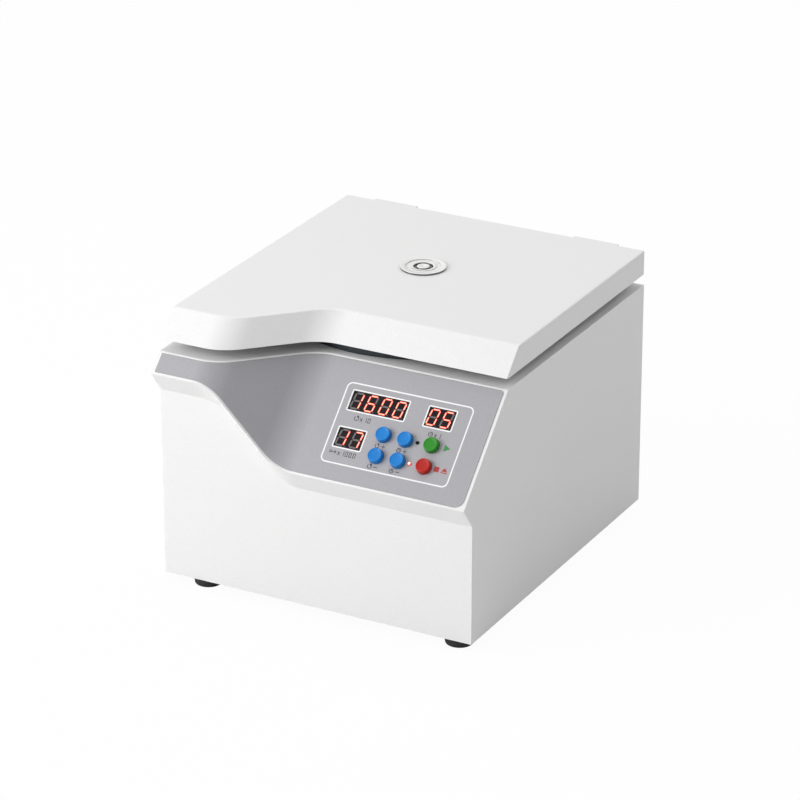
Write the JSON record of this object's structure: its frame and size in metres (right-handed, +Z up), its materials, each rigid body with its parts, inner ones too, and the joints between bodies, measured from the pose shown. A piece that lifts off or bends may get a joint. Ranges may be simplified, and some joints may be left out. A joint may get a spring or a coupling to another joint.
{
  "type": "benchtop centrifuge",
  "caption": "Benchtop high-speed microcentrifuge: stepped case with a slanted control panel, hinged lid with a sight glass, fixed-angle tube rotor and drive.",
  "frame": {"origin": "on the floor under the feet, at the middle of the overall box in X and Y", "axes": "+X to the user's right, +Y from the control panel to the rear hinges, +Z up"},
  "size_m": [0.29, 0.3442, 0.2441],
  "materials": {
    "white_paint": "satin light-grey powder coat",
    "zinc_steel": "zinc plated",
    "steel": "bright",
    "stainless": "satin stainless",
    "rubber": "matte",
    "fascia": "matte printed film",
    "display": "smoked window",
    "lamp_dark": "unlit lens",
    "lamp_red": "lit lens",
    "key_blue": "gloss",
    "key_green": "gloss",
    "key_red": "gloss",
    "black_plastic": "matte",
    "white_plastic": "matte",
    "cable_grey": "matte",
    "board": "solder resist",
    "brass": "plain",
    "copper": "enamelled copper",
    "aluminium": "machined",
    "rotor": "anodised",
    "magnet": "bonded magnet",
    "sight": "clear acrylic"
  },
  "bodies": {
    "cabinet": {"case_front": "white_paint", "case_sides": "white_paint", "case_deck_front": "white_paint", "case_deck_rear": "white_paint", "rear_panel": "white_paint", "base_plate": "zinc_steel", "rubber_feet": "rubber", "case_screws": "steel", "control_fascia": "fascia", "speed_display": "display", "time_display": "display", "force_display": "display", "run_lamp": "lamp_dark", "stop_lamp": "lamp_red", "key_switches": "black_plastic", "control_board": "board", "control_board_posts": "brass", "chamber_seal": "rubber", "chamber_bowl": "stainless", "guard_ring": "zinc_steel", "chamber_plate": "zinc_steel", "chamber_posts": "zinc_steel", "frame_screws": "steel", "spindle_boot": "rubber", "motor_plate": "zinc_steel", "motor_dampers": "rubber", "motor_bottom_cap": "aluminium", "motor_housing": "aluminium", "motor_top_cap": "aluminium", "motor_bearings": "steel", "motor_stator": "copper", "drive_board": "board", "drive_parts": "black_plastic", "cables": "cable_grey", "lock_body": "zinc_steel", "lock_solenoid": "copper", "fan_frame": "black_plastic", "mains_inlet": "black_plastic", "inlet_pins": "brass", "switch_frame": "black_plastic", "case_hinge_leaves": "white_paint"},
    "lid": {"lid_shell": "white_paint", "lid_liner": "white_plastic", "liner_screws": "steel", "sight_glass": "sight", "lid_striker": "steel", "lid_hinge_leaves": "white_paint"},
    "spindle": {"spindle": "steel", "magnet_rotor": "magnet", "angle_rotor": "rotor", "rotor_nut": "black_plastic"},
    "fan_rotor": {"fan_rotor": "black_plastic"},
    "lock_bolt": {"lock_bolt": "steel"},
    "power_rocker": {"power_rocker": "black_plastic"},
    "speed_up_key": {"speed_up_key": "key_blue"},
    "speed_down_key": {"speed_down_key": "key_blue"},
    "time_up_key": {"time_up_key": "key_blue"},
    "time_down_key": {"time_down_key": "key_blue"},
    "start_key": {"start_key": "key_green"},
    "stop_key": {"stop_key": "key_red"}
  },
  "joints": [
    {"name": "lid_hinge", "type": "hinge", "parent": "cabinet", "child": "lid", "pos_m": [0, 0.1678, 0.216], "axis": [-1, 0, 0], "range_deg": [0, 80]},
    {"name": "spindle_spin", "type": "hinge", "parent": "cabinet", "child": "spindle", "pos_m": [0, 0.035, 0.1232], "axis": [0, 0, 1], "continuous": true},
    {"name": "fan_spin", "type": "hinge", "parent": "cabinet", "child": "fan_rotor", "pos_m": [-0.092, 0.153, 0.057], "axis": [0, 1, 0], "continuous": true},
    {"name": "lock_slide", "type": "slide", "parent": "cabinet", "child": "lock_bolt", "axis": [-1, 0, 0], "range_m": [0, 0.01]},
    {"name": "rocker_tilt", "type": "hinge", "parent": "cabinet", "child": "power_rocker", "pos_m": [0.046, 0.1598, 0.057], "axis": [1, 0, 0], "range_deg": [0, 20]},
    {"name": "speed_up_key_press", "type": "slide", "parent": "cabinet", "child": "speed_up_key", "axis": [0, 0.7071, -0.7071], "range_m": [0, 0.0008], "stiffness_N_per_m": 500, "springref_m": -0.0006},
    {"name": "speed_down_key_press", "type": "slide", "parent": "cabinet", "child": "speed_down_key", "axis": [0, 0.7071, -0.7071], "range_m": [0, 0.0008], "stiffness_N_per_m": 500, "springref_m": -0.0006},
    {"name": "time_up_key_press", "type": "slide", "parent": "cabinet", "child": "time_up_key", "axis": [0, 0.7071, -0.7071], "range_m": [0, 0.0008], "stiffness_N_per_m": 500, "springref_m": -0.0006},
    {"name": "time_down_key_press", "type": "slide", "parent": "cabinet", "child": "time_down_key", "axis": [0, 0.7071, -0.7071], "range_m": [0, 0.0008], "stiffness_N_per_m": 500, "springref_m": -0.0006},
    {"name": "start_key_press", "type": "slide", "parent": "cabinet", "child": "start_key", "axis": [0, 0.7071, -0.7071], "range_m": [0, 0.0008], "stiffness_N_per_m": 500, "springref_m": -0.0006},
    {"name": "stop_key_press", "type": "slide", "parent": "cabinet", "child": "stop_key", "axis": [0, 0.7071, -0.7071], "range_m": [0, 0.0008], "stiffness_N_per_m": 500, "springref_m": -0.0006}
  ]
}
